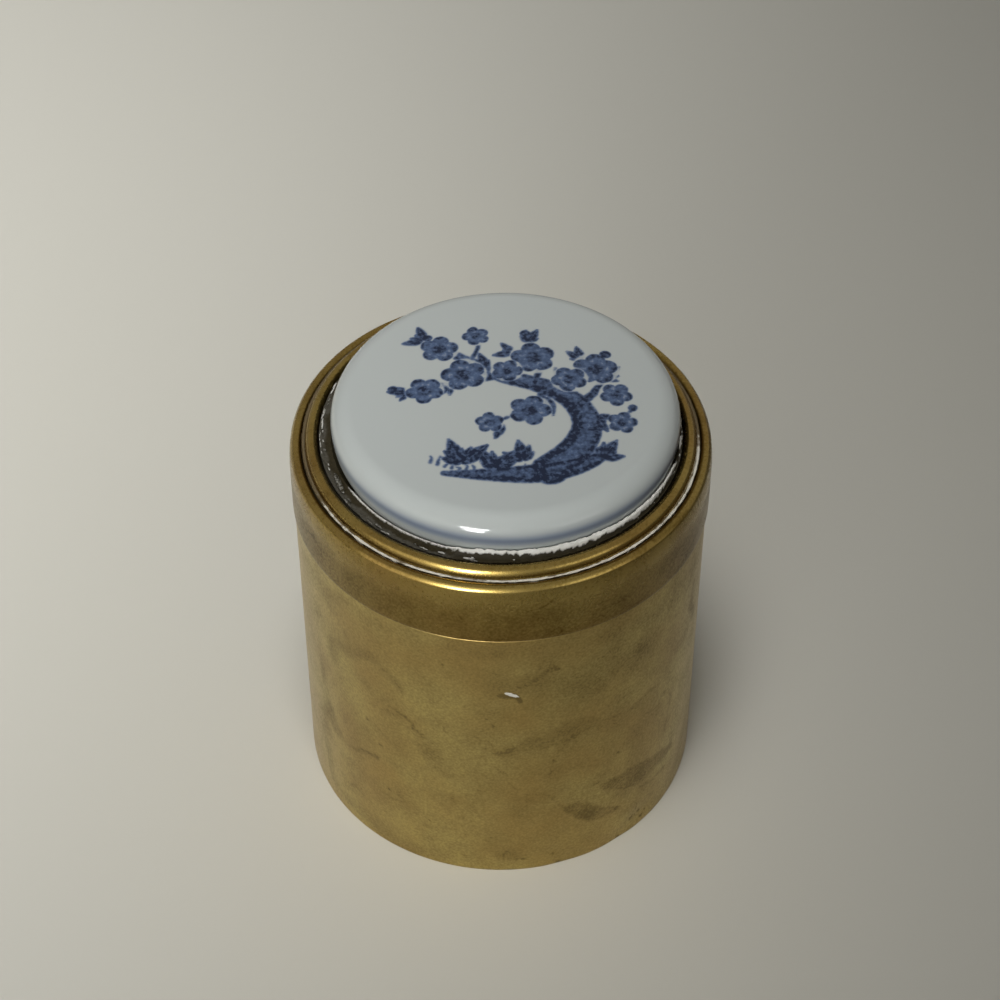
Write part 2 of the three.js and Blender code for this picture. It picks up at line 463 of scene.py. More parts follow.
# Plaster filler is pressed in by hand and has broken: chalk white where it is fresh, brown-black where it is
# lost.
def cement_finish(name, settings):
    """Broken plaster, white where its piece is painted so."""
    material, tree, place = new_material(name)
    crust = add_node(tree, "Attribute", attribute_name="crust").outputs["Fac"]
    dust = add_node(tree, "Attribute", attribute_name="dust").outputs["Fac"]
    crumbs = add_node(tree, "TexNoise", {"Vector": place, "Scale": per_metre(0.35), "Detail": 5})
    edge = add_node(tree, "Math", {0: crumbs, 1: 0.5}, operation="SUBTRACT")
    broken = add_node(tree, "Math", {0: edge, 1: 0.6, 2: crust}, operation="MULTIPLY_ADD")
    white = add_node(tree, "MapRange", {0: broken, 1: 0.3, 2: 0.72})
    pale = add_node(tree, "Math", {0: dust, 1: crumbs, 2: white}, operation="MULTIPLY_ADD", use_clamp=True)
    colour = add_node(
        tree, "Mix", {0: pale, 6: opaque(settings.grime), 7: opaque(settings.plaster)}, data_type="RGBA"
    )
    bump = add_node(tree, "Bump", {"Strength": 0.7, "Distance": 0.12 * MM, "Height": crumbs})
    shader = add_node(
        tree, "BsdfPrincipled",
        {"Base Color": colour.outputs[2], "Roughness": 0.8, "Specular IOR Level": 0.2, "Normal": bump},
    )
    add_node(tree, "OutputMaterial", {0: shader})
    return material


# Porcelain is printed, glazed and fired: a wet gloss with a faint ripple, over soft cobalt that pooled in
# specks.
def porcelain_finish(name, settings):
    """Glazed porcelain, blue where its piece is painted with ink."""
    material, tree, place = new_material(name)
    ink = add_node(tree, "Attribute", attribute_name="ink").outputs["Fac"]
    line = add_node(tree, "Attribute", attribute_name="line").outputs["Fac"]
    mottle = add_node(tree, "TexNoise", {"Vector": place, "Scale": per_metre(0.75), "Detail": 3})
    uneven = add_node(tree, "MapRange", {0: mottle, 1: 0.33, 2: 0.64, 3: 0.62, 4: 1.3})
    laid = add_node(tree, "Math", {0: ink, 1: uneven, 2: line}, operation="MULTIPLY_ADD", use_clamp=True)
    colour = add_node(tree, "ValToRGB", {0: laid})
    stops = colour.color_ramp.elements
    stops[0].color = opaque(settings.glaze)
    stops[1].color = opaque(settings.cobalt)
    stops.new(0.45).color = opaque(settings.wash)
    ripple = add_node(tree, "TexNoise", {"Vector": place, "Scale": per_metre(6), "Detail": 2})
    bump = add_node(tree, "Bump", {"Strength": 0.15, "Distance": 0.05 * MM, "Height": ripple})
    shader = add_node(
        tree, "BsdfPrincipled",
        {"Base Color": colour, "Roughness": 0.08, "Specular IOR Level": 0.35, "Normal": bump},
    )
    add_node(tree, "OutputMaterial", {0: shader})
    return material


# A painted board is rolled flat and matt, so it gives the eye nothing to catch on.
def floor_finish(name, settings):
    """A plain matt board."""
    material, tree, _ = new_material(name)
    shader = add_node(tree, "BsdfPrincipled", {"Base Color": opaque(settings.floor), "Roughness": 0.9})
    add_node(tree, "OutputMaterial", {0: shader})
    return material


INNER_ROUGHNESS = 0.45


def inner_brass(context):
    """The dull brass of everything that nobody polishes."""
    body = context.scene.brass_box.body
    return once("Dull inner brass", brass_finish, body.inner, body.warm, body.tarnish_and_shade, INNER_ROUGHNESS)


def lid_brass(context):
    """The handled brass of the lid."""
    lid = context.scene.brass_box.lid
    return once("Handled brass", brass_finish, lid.clean, lid.warm, lid.tarnish_and_shade, lid.roughness)


def soft_solder(context):
    """The solder of the joints."""
    return once("Soft solder with dried polish", solder_finish, context.scene.brass_box.lid)


# Pieces of the body

# Stains on the wall, and last a painted shadow beside the chip: strength, softness and a path of (degrees
# round from the front, height, width) in mm.
STAINS = (
    (0.55, 1.4, ((19.5, 13.1, 1.73), (22.9, 12.2, 3.65), (27.5, 10.8, 3.65),
                 (31.9, 9.4, 2.5), (34.8, 8.6, 1.15))),
    (0.5, 1.4, ((30.1, 16.1, 1.15), (35, 15.8, 2.69), (41.4, 14.5, 4.04),
                 (47.4, 13.3, 4.23), (53.3, 12.5, 3.27), (60.2, 12.1, 1.54))),
    (0.4, 0.7, ((45.2, 10.1, 0.58), (50.3, 8.7, 0.96), (56.1, 8.3, 0.96))),
    (0.6, 0.5, ((3.7, 45.1, 0.35), (9.4, 45.4, 0.29), (10.7, 47.7, 0.29),
                 (13.9, 49.1, 0.48), (15.6, 49.1, 1.15))),
    (0.3, 0.9, ((17.6, 30.1, 0.29), (23.5, 31.8, 0.48), (28.7, 32.9, 0.48),
                (34, 33, 0.58), (42.1, 31.9, 0.58), (49.6, 32, 0.38))),
    (0.34, 0.7, ((55.6, 27.8, 0.29), (57.1, 22.6, 0.38), (55.5, 18.4, 0.29))),
    (0.32, 3.0, ((0, 30, 2), (8.2, 32, 3.08), (16.7, 32.2, 5.77), (25.5, 33.9, 2.69))),
    (0.34, 5.0, ((0, 45.1, 3.85), (12.1, 45.7, 5.77), (22.1, 41.5, 5),
                 (31.1, 44.9, 5), (41.6, 43.9, 3.85))),
    (0.26, 0.8, ((7.6, 18.9, 0.58), (9.3, 20.2, 0.48), (12.8, 19.8, 0.48), (14.8, 17.9, 0.48),
                (12.8, 16.5, 0.48), (9.4, 17.2, 0.48), (7.6, 18.9, 0.58))),
    (0.4, 0.8, ((-2.8, 29.2, 0.77), (0, 30.4, 1.15), (3.8, 31.3, 0.77))),
    (0.4, 0.4, ((-2.2, 25.7, 0.17), (2.2, 23.8, 0.17), (6.5, 21.5, 0.17))),
    (0.45, 2.4, ((-59.6, 22.9, 1.15), (-58.3, 19.6, 2.88), (-54.4, 19.9, 1.54))),
    (0.3, 2.4, ((-61.5, 32.6, 1.15), (-61, 25.6, 1.54), (-63.4, 10.2, 1.35), (-59, 5, 1.15))),
    (0.45, 1.0, ((-47.7, 19.4, 0.38), (-42.5, 20.9, 1.15), (-37.8, 21, 1.15), (-35.7, 20.9, 0.58))),
    (0.45, 0.6, ((-28.7, 35, 0.38), (-27.2, 34.3, 0.77), (-25.4, 33.1, 0.38))),
    (0.5, 0.6, ((-24.8, 32.8, 0.38), (-23.3, 32, 0.77), (-21.5, 31.3, 0.77))),
    (0.3, 1.6, ((-34, 43.7, 0.77), (-30.8, 42.5, 1.73), (-27.8, 40.3, 0.96))),
    (0.3, 4.0, ((-21.2, 30.1, 1.92), (-17.5, 27.6, 4.23), (-15.2, 24.6, 1.92))),
    (0.25, 3.0, ((-55.6, 4.1, 1.54), (-40.9, 2.5, 2.69), (-27.2, 1.7, 2.69), (-14, 2, 1.54))),
    (0.22, 3.0, ((-13.1, 4.3, 1.54), (-2.8, 6.5, 3.08), (5.8, 3.6, 1.54))),
    (0.3, 0.8, ((-12.6, 12.6, 0.29), (-10.6, 12.4, 0.38))),
    (0.3, 0.8, ((-4, 8, 0.29), (-1.7, 8.1, 0.38))),
    (0.3, 1.2, ((-22.3, 9.6, 0.77), (-19.3, 8.9, 0.77))),
    (0.3, 3.0, ((-55.8, 38.1, 1.54), (-45, 43.4, 1.92), (-37.4, 45.3, 1.54))),
    (0.16, 4.0, ((20, 15, 3), (30, 13, 6), (42, 11, 6), (54, 10, 4))),
    (0.5, 1.6, ((70.2, 46, 1.4), (70.4, 38, 1.4))),
    (0.2, 10, ((-60, 52, 3), (-20, 52.5, 2), (20, 53, 4), (65, 52, 3))),
    # Painted shadow beside the chip, not a stain.
    (0.9, 0.5, ((-1.3, 43.9, 0.5), (1, 43.1, 0.9), (3, 42.3, 0.7), (4.3, 41.6, 0.3))),
)
# Dark specks on the wall: degrees round from the front, height and size in mm.
SPECKS = (
    (-35.4, 25.3, 0.58), (37.3, 22.9, 0.48), (17.5, 25.7, 0.48), (42.5, 3.5, 0.48), (44.6, 3.5, 0.48),
    (47.0, 2.0, 0.58), (47.8, 2.9, 0.38), (18.4, 0.6, 0.77), (36.9, 0.7, 0.77), (15.6, 3.4, 0.48),
    (6.1, 3.3, 0.77), (-20.4, 10.7, 0.38), (-32.6, 14.0, 0.48), (-40.1, 29.9, 0.48), (-14.6, 49.8, 0.38),
    (34.4, 8.7, 0.96), (-2.8, 37.6, 0.38), (-0.9, 36.2, 0.38),
)
# How far and over what length the stains wander and fray, in mm, with seeds.
FRAYS = ((1.0, 4.5, (24, 25)), (0.35, 1.2, (21, 22)))
# How much darker a stain's border is, how much a stain varies, how much of the tarnish below one is left,
# and how dark a speck is.
BORDER = 0.22
STAIN_VARIES = 0.25
UNDER_STAIN = 0.6
SPECK_STRENGTH = 0.9
# Painted shade on the wall, darker towards the lid and on its right-hand half, in degrees from the front.
UPPER_PAINTED_SHADE = 0.1
RIGHT_PAINTED_SHADE = 0.15
RIGHT_HALF = (-50, 0, 100, 180)
WAVE_LENGTH = 15 * MM
# Dents in the wall: degrees round from the front, height, radius and depth, in mm.
DENTS = (
    (46.9, 2.9, 2.0, 0.12),
    (43.4, 3.0, 1.6, 0.09),
    (37.1, 0.3, 2.4, 0.14),
    (18.7, 0.5, 2.0, 0.12),
    (15.9, 3.3, 1.6, 0.09),
    (-20, 22, 7, 0.05),
    (60, 30, 9, 0.06),
    (-46, 9, 5, 0.05),
)
# The one bright chip in the wall: degrees round from the front, height, half length, half width and lean.
CHIP = (3.1, 43.9, 1.25, 0.36, math.radians(-27))
CHIP_RISE = 0.15 * MM
CHIP_ROUGH = 0.06 * MM


def unrolled(points, radius):
    """A round wall laid out flat, in millimetres: along its girth from the front, and up."""
    return np.column_stack([np.radians(round_from_front(points)) * radius, points[:, 2]]) / MM


class BodyShell(bpy.types.Operator):
    """Builds the wall of the box from rolled sheet brass"""

    bl_idname = "brass_box.body_shell"
    bl_label = "Body shell"

    def execute(self, context):
        """Spins the wall, wavers, dents and stains its outer face, paints shade on it, and adds the chip."""
        settings = context.scene.brass_box.body
        radius, low, high = extent("body_wall")
        bore = radius - settings.sheet
        corners = ((bore, low), (radius, low), (radius, high), (bore, high))
        mesh = turned(
            [(*corner, EDGE_EASE) for corner in corners],
            WALL_CELL, lambda middle: middle.x > radius - EDGE_EASE / 2, WALL_STEPS,
        )
        finish = once(
            "Rubbed sheet brass", brass_finish, settings.clean, settings.warm, settings.tarnish_and_shade,
            settings.roughness,
        )
        piece = finished("body_shell", mesh, "body", "body_brass", finish, "body_wall")
        points = places(piece)
        wall = unrolled(points, radius)
        girth = math.radians(radius / MM)
        # Painted shade: the wall darkens towards the lid and on its right-hand half. The stains and specks
        # below are the wall's own marks, except the chip's painted shadow.
        stains_and_shade = UPPER_PAINTED_SHADE * smooth_step(0, high / MM, wall[:, 1])
        stains_and_shade += RIGHT_PAINTED_SHADE * between(RIGHT_HALF, round_from_front(points))
        density = 1 + STAIN_VARIES * cloud(points, 3 * MM, 23)
        frayed = wall.copy()
        for reach, length, seeds in FRAYS:
            frayed += reach * np.column_stack([cloud(points, length * MM, seed) for seed in seeds])
        for strength, soft, path in STAINS:
            laid = stroke(frayed, [(turn * girth, height, width) for turn, height, width in path], soft)
            laid = laid * density + BORDER * 4 * laid * (1 - laid)
            stains_and_shade = np.maximum(stains_and_shade, stains_and_shade * UNDER_STAIN + strength * laid)
        for turn, height, size in SPECKS:
            away = np.linalg.norm(frayed - [turn * girth, height], axis=1)
            stains_and_shade = np.maximum(stains_and_shade, SPECK_STRENGTH * smooth_step(size, 0.3 * size, away))
        paint(piece, "tarnish_and_shade", stains_and_shade)
        dented = np.zeros(len(points))
        for turn, height, size, depth in DENTS:
            away = np.linalg.norm(wall - [turn * girth, height], axis=1)
            dented += depth * MM * np.exp(-((away / size) ** 2))
        outside = smooth_step(bore, radius, from_axis(points))
        wavered = settings.waviness * (1 - cloud(points, WAVE_LENGTH, 1))
        push_out(piece, -outside * (dented + wavered))
        self.add_chip(context, radius - settings.waviness)
        return {"FINISHED"}

    def add_chip(self, context, radius):
        """A thin, pale chip that lies on the wall."""
        turn, height, length, width, lean = CHIP
        chip = bmesh.new()
        bmesh.ops.create_icosphere(chip, subdivisions=3, radius=1)
        bmesh.ops.scale(chip, verts=chip.verts, vec=(length * MM, CHIP_RISE, width * MM))
        bmesh.ops.rotate(chip, verts=chip.verts, matrix=Matrix.Rotation(-lean, 3, "Y"))
        bmesh.ops.translate(chip, verts=chip.verts, vec=(0, -radius, height * MM))
        bmesh.ops.rotate(chip, verts=chip.verts, matrix=Matrix.Rotation(math.radians(turn), 3, "Z"))
        piece = finished("wall_chip", mended(chip), "body", "solder", soft_solder(context))
        points = places(piece)
        points += CHIP_ROUGH * np.column_stack([cloud(points, 0.25 * MM, seed) for seed in (31, 32, 33)])
        move_to(piece, points)
        paint(piece, "chalk", np.ones(len(points)))


class BaseDisc(bpy.types.Operator):
    """Builds the base plate and the solder that holds it"""

    bl_idname = "brass_box.base_disc"
    bl_label = "Base and its solder"

    def execute(self, context):
        """Spins the disc, and a hollow fillet of solder above it."""
        settings = context.scene.brass_box.body
        finished("base_disc", disc("base_plate"), "body", "inner_brass", inner_brass(context), "base_plate")
        outer, floor, _ = extent("base_solder")
        leg = settings.fillet
        run = turned(
            [(outer, floor, 0), (outer, floor + leg, 0),
             (outer - leg * 0.2, floor + leg * 0.2, leg * 0.6), (outer - leg, floor, 0)]
        )
        finished("base_solder_run", run, "body", "solder", soft_solder(context), "base_solder")
        return {"FINISHED"}


class NeckSleeve(bpy.types.Operator):
    """Builds the collar that the lid slides over"""

    bl_idname = "brass_box.neck_sleeve"
    bl_label = "Neck sleeve"

    def execute(self, context):
        """Spins the sleeve, with a lead-in round its top edge."""
        settings = context.scene.brass_box.body
        radius, low, high = extent("neck_collar")
        bore = radius - settings.neck_sheet
        mesh = turned(
            [(bore, low, EDGE_EASE), (radius, low, EDGE_EASE),
             (radius, high, 2 * EDGE_EASE), (bore, high, EDGE_EASE)]
        )
        finished("neck_sleeve", mesh, "body", "inner_brass", inner_brass(context), "neck_collar")
        return {"FINISHED"}


# Pieces of the lid

# Painted dark reflections along the lid's shoulder: strength, softness and a path as on the wall.
SHOULDER_REFLECTIONS = (
    (0.7, 0.7, ((-27, 66.1, 0.2), (-20, 66.3, 0.5), (-13, 66.5, 0.2))),
    (0.6, 0.7, ((45, 67.3, 0.2), (53, 67.1, 0.4), (60, 66.9, 0.2))),
)
# How far from the middle of the groove painted shade darkens the outer and the inner moulding, and how
# strongly.
GROOVE_SHADE = {"rim_moulding": (1.15 * MM, 0.7), "bezel_ring": (0.36 * MM, 0.4)}
# Where the painted groove shade is lighter and by how much, and where the inner ring also has painted shade
# on its slope to the gap, in degrees from the front.
LIGHTER_GROOVE = (-180, -140, -70, -54)
SHADE_LIFTED = 0.6
GAP_SIDE = (-180, -140, -26, -8)
GAP_SHADE = 0.4
# How much darker the skirt is towards its bottom, and how much that and its roughness vary.
LOWER_DARKENING = 0.42
DARKENING_VARIES = 0.12
SKIRT_WAVINESS = 0.02 * MM
# The rounded shoulder starts this far down the skirt, and leans in this far where it meets the moulding.
SHOULDER_DROP = 2.6 * MM
SHOULDER_LEAN = 0.21 * MM


def shoulder_slope(points):
    """How far the lid's shoulder leans in at each point of the skirt and of the moulding above it."""
    outer, seam, _ = extent("rim_moulding")
    up = (points[:, 2] - seam + SHOULDER_DROP) / SHOULDER_DROP
    lean = np.where(up < 1, np.clip(up, 0, 1) ** 2, 2 * up - 1)
    return SHOULDER_LEAN * lean * smooth_step(outer - 1 * MM, outer, from_axis(points))


class LidBand(bpy.types.Operator):
    """Builds the lid's skirt and the plate inside it"""

    bl_idname = "brass_box.lid_band"
    bl_label = "Lid skirt and plate"

    def execute(self, context):
        """Spins the skirt up to the moulding that it runs into, and the plate."""
        settings = context.scene.brass_box.lid
        radius, low, _ = extent("lid_skirt")
        high = extent("rim_moulding")[1]
        bore = radius - settings.sheet
        mesh = turned(
            [(bore, low, EDGE_EASE), (radius, low, EDGE_EASE), (radius, high, 0), (bore, high, 0)],
            DENT_CELL, lambda middle: middle.x > radius - EDGE_EASE / 2, FINE_STEPS,
        )
        band = finished("lid_band", mesh, "lid", "lid_brass", lid_brass(context), "lid_skirt")
        points = places(band)
        outside = smooth_step(bore, radius, from_axis(points))
        below = smooth_step(high, high - 3 * MM, points[:, 2])
        wavered = outside * below * SKIRT_WAVINESS * (1 - cloud(points, 12 * MM, 4))
        push_out(band, -wavered - shoulder_slope(points))
        # The skirt is painted darker towards its bottom.
        lower_part = smooth_step(high - 1.5 * MM, high - 5.5 * MM, points[:, 2])
        paint(band, "tarnish_and_shade", lower_part * (LOWER_DARKENING + DARKENING_VARIES * cloud(points, 7 * MM, 6)))
        finished("lid_top_disc", disc("lid_plate"), "lid", "inner_brass", inner_brass(context), "lid_plate")
        return {"FINISHED"}


class Mouldings(bpy.types.Operator):
    """Builds the two half-round rings on the lid"""

    bl_idname = "brass_box.mouldings"
    bl_label = "Mouldings"

    def execute(self, context):
        """Spins each ring from a wire section with a round crown, and paints shade and dark reflections on
        it.
        """
        settings = context.scene.brass_box.lid
        rings = (
            ("shoulder_moulding", "rim_moulding", settings.rim_width, settings.rim_crown),
            ("bezel_moulding", "bezel_ring", settings.bezel_width, settings.bezel_crown),
        )
        groove = (extent("bezel_ring")[0] + extent("rim_moulding")[0] - settings.rim_width) / 2
        for name, node, width, crown in rings:
            outer, low, high = extent(node)
            turns = [math.pi * step / CROWN_STEPS for step in range(CROWN_STEPS + 1)]
            section = [
                (outer - width / 2 + width / 2 * math.cos(turn), high - crown + crown * math.sin(turn), 0)
                for turn in turns
            ]
            mesh = turned([(outer - width, low, 0), (outer, low, 0), *section], steps=FINE_STEPS)
            piece = finished(name, mesh, "lid", "lid_brass", lid_brass(context), node)
            points = places(piece)
            face = unrolled(points, outer)
            girth = math.radians(outer / MM)
            if node == "rim_moulding":
                push_out(piece, -shoulder_slope(points))
            radius = from_axis(points)
            # Painted shade: darker near the groove, less so on the left, and on the left also on the inner
            # ring's slope to the gap.
            wide, strength = GROOVE_SHADE[node]
            aside = np.abs(radius - groove)
            angle = round_from_front(points)
            lighter = 1 - SHADE_LIFTED * between(LIGHTER_GROOVE, angle)
            groove_dark = strength * smooth_step(wide, 0.15 * wide, aside) * lighter
            by_gap = smooth_step(0.45, 0.1, (radius - outer + width) / width)
            gap_dark = by_gap * GAP_SHADE * between(GAP_SIDE, angle)
            painted_dark = np.maximum(groove_dark, (node == "bezel_ring") * gap_dark)
            # Painted dark reflections along the shoulder.
            for strength, soft, path in SHOULDER_REFLECTIONS:
                laid = stroke(face, [(turn * girth, height, wide) for turn, height, wide in path], soft)
                painted_dark = np.maximum(painted_dark, strength * laid)
            paint(piece, "tarnish_and_shade", painted_dark)
        return {"FINISHED"}


# Where the solder in the groove is chalky, in degrees from the front. In mm: its roughness, hollow and
# height, and how much lower it is where it is chalky.
CHALKY = (-70, -54, 84, 96)
SOLDER_ROUGH = 0.05
SOLDER_HOLLOW = 0.16
SOLDER_RISE = 0.22
CHALK_DROP = 0.32


class GrooveLine(bpy.types.Operator):
    """Builds the solder in the groove between the mouldings"""

    bl_idname = "brass_box.groove_line"
    bl_label = "Groove solder"

    def execute(self, context):
        """Spins a thin run of solder that fills the groove, and makes its top uneven and chalky."""
        lid = context.scene.brass_box.lid
        outer = extent("rim_moulding")[0] - lid.rim_width
        inner = extent("bezel_ring")[0]
        _, low, high = extent("groove_solder")
        mesh = turned(
            [(inner, low, 0), (outer, low, 0), (outer, high, 0), (inner, high, 0)],
            CRUMB_CELL, lambda middle: middle.z > high - SAME_POINT, CRUMB_STEPS,
        )
        piece = finished("groove_line", mesh, "lid", "solder", soft_solder(context), "groove_solder")
        points = places(piece)
        upper = smooth_step(low, high, points[:, 2])
        rough = cloud(points, 1.2 * MM, 7) + 0.7 * cloud(points, 0.4 * MM, 8)
        across = np.abs(2 * from_axis(points) - inner - outer) / (outer - inner)
        angle = round_from_front(points) + 5 * cloud(points, 6 * MM, 10)
        chalk = between(CHALKY, angle)
        raised = SOLDER_ROUGH * rough - SOLDER_HOLLOW * (1 - across**2) + SOLDER_RISE - CHALK_DROP * chalk
        points[:, 2] += upper * MM * raised
        move_to(piece, points)
        middle = smooth_step(1.15, 0.6, across + 0.3 * rough)
        paint(piece, "chalk", chalk * middle * (0.8 + 0.25 * cloud(points, 4 * MM, 9)))
        return {"FINISHED"}


# Filler that has come loose: first and last degree from the front, nearest and farthest place across the
# gap, how many slivers, their length and width in mm, and their whiteness.
FLAKES = (
    (-112, -76, 0.7, 0.95, 10, 2.2, 0.3, 0.75),
    (-118, -64, 0.55, 0.98, 14, 0.9, 0.3, 0.55),
    (-66, -60, 0.45, 0.55, 1, 5.5, 1.0, 0.42),
    (-58, -24, 0.55, 0.95, 7, 2.2, 0.35, 0.42),
    (-26, -8, 0.5, 1.0, 6, 1.6, 0.4, 0.6),
    (-14, 74, 0.1, 0.6, 20, 0.6, 0.3, 1.0),
    (70, 106, 0.3, 0.9, 16, 1.1, 0.3, 0.9),
)
# Where the filler is left at the front and on the right, and where a lip of it is left by the plaque, in
# degrees from the front.
FRONT_CRUST = (-20, -8, 68, 84)
RIGHT_CRUST = (64, 76, 102, 114)
LEFT_LIP = (-66, -56, -18, -8)
# In mm: how high the filler stands by the plaque and how far it falls towards the ring, how deep it is lost
# and hollowed, how high the lip stands in that, how rough all this is, and how deep the loose slivers lie.
CRUST_RISE = 0.6
CRUST_FALL = 1.3
LOST_DEPTH = 0.65
LOST_HOLLOW = 0.25
LIP_RISE = 0.55
CRUMB_ROUGH = 0.13
SLIVER_DEPTHS = (0.5, 0.65)
# How white the lip and the dust in the gap are.
LIP_WHITE = 0.65
DUST_WHITE = 0.13
# The gap between plaque and cement.
CEMENT_FILM = 0.04 * MM


class CementBed(bpy.types.Operator):
    """Builds the broken filler round the plaque"""

    bl_idname = "brass_box.cement_bed"
    bl_label = "Cement bed"

    def execute(self, context):
        """Spins the bed, moves its pocket under the plaque, breaks up its top and scatters flakes on it."""
        lid = context.scene.brass_box.lid
        outer = extent("bezel_ring")[0] - lid.bezel_width
        _, low, high = extent("plaque_cement")
        plaque, back, _ = extent("porcelain_plaque")
        pocket, bed = plaque + CEMENT_FILM, back - CEMENT_FILM
        mesh = turned(
            [(0, low, 0), (outer, low, 0), (outer, high, 0),
             (pocket, high, 0), (pocket, bed, 0), (0, bed, 0)],
            CRUMB_CELL, lambda middle: middle.z > high - SAME_POINT, CRUMB_STEPS, closed=False,
        )
        finish = once("Broken plaster filler", cement_finish, context.scene.brass_box.plaque)
        piece = finished("cement_bed", mesh, "lid", "cement", finish, "plaque_cement")
        points = places(piece)
        out = smooth_step(pocket, outer, from_axis(points))
        upper = smooth_step(bed, high, points[:, 2])
        points[:, :2] += (1 - out)[:, None] * np.array(centre("porcelain_plaque"))
        rough = cloud(points, 0.4 * MM, 11) + 0.6 * cloud(points, 0.2 * MM, 12)
        rough += 0.3 * cloud(points, 1.1 * MM, 14)
        kept = self.kept(points)
        angle = round_from_front(points)
        ridge = CRUST_RISE - CRUST_FALL * smooth_step(0.2, 0.7, out - 0.3 * smooth_step(4, 30, angle))
        lip = between(LEFT_LIP, angle) * smooth_step(0.08, 0.02, out + 0.02 * rough)
        lost = -LOST_DEPTH + LIP_RISE * lip - LOST_HOLLOW * np.sin(math.pi * out)
        crumbled = CRUMB_ROUGH * (1 - 0.8 * lip) * rough
        points[:, 2] += upper * MM * (kept * ridge + (1 - kept) * lost + crumbled)
        move_to(piece, points)
        reach = 0.38 + 0.36 * smooth_step(4, 30, angle)
        white = smooth_step(0.14, -0.14, out + 0.04 * cloud(points, 2.3 * MM, 14) + 0.03 * rough - reach)
        paint(piece, "crust", kept * white + (1 - kept) * LIP_WHITE * lip)
        dusty = smooth_step(0.35, 0.75, out + 0.3 * cloud(points, 1.5 * MM, 16))
        paint(piece, "dust", DUST_WHITE * (1 - kept) * dusty)
        self.scatter(outer, pocket, finish)
        return {"FINISHED"}

    def kept(self, points):
        """How much of the filler is left round the plaque: most at the front right, some on the right."""
        angle = round_from_front(points) + 4 * cloud(points, 2 * MM, 13)
        patchy = smooth_step(-0.2, 0.5, cloud(points, 1.6 * MM, 15))
        return np.maximum(between(FRONT_CRUST, angle), between(RIGHT_CRUST, angle) * patchy)

    def scatter(self, outer, pocket, finish):
        """Flakes of filler that lie in the gap round the plaque."""
        dice = np.random.default_rng(5)
        middle = np.array(centre("porcelain_plaque"))
        flakes = bmesh.new()
        whiteness = []
        for first, last, nearest, farthest, count, length, width, white in FLAKES:
            for _ in range(count):
                turn = math.radians(dice.uniform(first, last))
                way = np.array([math.sin(turn), -math.cos(turn)])
                inner = middle @ way + pocket
                spot = way * (inner + (outer - inner) * dice.uniform(nearest, farthest))
                verts = bmesh.ops.create_icosphere(flakes, subdivisions=1, radius=MM / 2)["verts"]
                size = dice.uniform(0.5, 1)
                bmesh.ops.scale(flakes, verts=verts, vec=(length * size, width * size, 0.6 * width * size))
                lean = dice.uniform(-0.15, 0.15, 3)
                tilt = Euler((lean[0], lean[1] * width / length, lean[2] + turn)).to_matrix()
                bmesh.ops.rotate(flakes, verts=verts, matrix=tilt)
                height = extent("plaque_cement")[2] - dice.uniform(*SLIVER_DEPTHS) * MM
                bmesh.ops.translate(flakes, verts=verts, vec=(spot[0], spot[1], height))
                whiteness += [white * dice.uniform(0.7, 1.1)] * len(verts)
        bmesh.ops.recalc_face_normals(flakes, faces=flakes.faces)
        piece = finished("cement_flakes", flakes, "lid", "cement", finish)
        paint(piece, "crust", whiteness)


# The plaque

PRINT_CELLS = 230
PRINT_RADIUS = 20.6 * MM
EDGE_RINGS = 48
BACK_RINGS = 24
# How far a printed edge runs into the glaze, in mm, and how strong the ink of each kind of mark is.
SOFT_EDGE = 0.7
GRASS_INK = 0.8
TWIG_INK = 0.95
LEAF_INK = 0.98
BUD_INK = 0.9
# The line round the edge: its strength, and how much stronger it is on the right, in degrees from the front.
LINE_INK = 0.14
LINE_BOLDER = 0.18
BOLD_SIDE = (-80, -25, 110, 180)
# The print, in millimetres across and up from the plaque's middle, with brush widths.
TRUNK = (
    (6.5, -15.5, 5.6), (10.5, -11.5, 5.0), (12.6, -6, 4.3), (10.2, -0.5, 3.7),
    (5, 2.6, 3.1), (-1, 4.2, 2.5), (-6.5, 8, 1.8), (-11, 12.2, 0.9),
)
# The bank that the tree stands on, drawn like the trunk.
BANK = ((-9, -16.2, 0.8), (-3, -16.6, 2.2), (5, -16.4, 3.8), (11, -14.6, 3.2), (15.5, -11.6, 1.2))
TWIGS = (
    ((11, -2, 1.5), (14.6, 2.5, 1.0), (15, 8.5, 0.5)),
    ((6, 2.2, 1.1), (4.4, -2.4, 0.8), (-0.5, -5.2, 0.4)),
    ((-1, 4.2, 1.0), (-7, 2.6, 0.8), (-12, 0.4, 0.6), (-16, 1.4, 0.3)),
    ((12.6, -7, 1.2), (16.4, -6.2, 0.7), (18.6, -3, 0.35)),
    ((4.4, 2.8, 1.0), (5.6, 8, 0.7), (3.4, 13.2, 0.35)),
    ((-5.5, 7.4, 0.7), (-4, 11, 0.5), (-4.6, 14.4, 0.3)),
)
# How much larger the blossoms and leaves are drawn than their tables say.
BLOOM = 1.2
# Blossoms: across, up, size and turn.
BLOSSOMS = (
    (13.6, 6.2, 2.9, 0.3), (16.6, 0.6, 2.1, 1.0), (3.6, -3.2, 2.7, 0.0), (-6.4, 4.6, 2.9, 0.6),
    (-12.2, 1.2, 2.4, 0.9), (-10.2, 10.6, 2.5, 0.2), (4.2, 8.6, 2.9, 0.5), (9.6, 3.8, 2.3, 0.8),
    (17.4, -5.4, 1.9, 0.1), (-2.4, -5.8, 1.8, 0.4), (-4.6, 13.6, 1.8, 0.7), (0.2, 5.6, 2.0, 1.2),
)
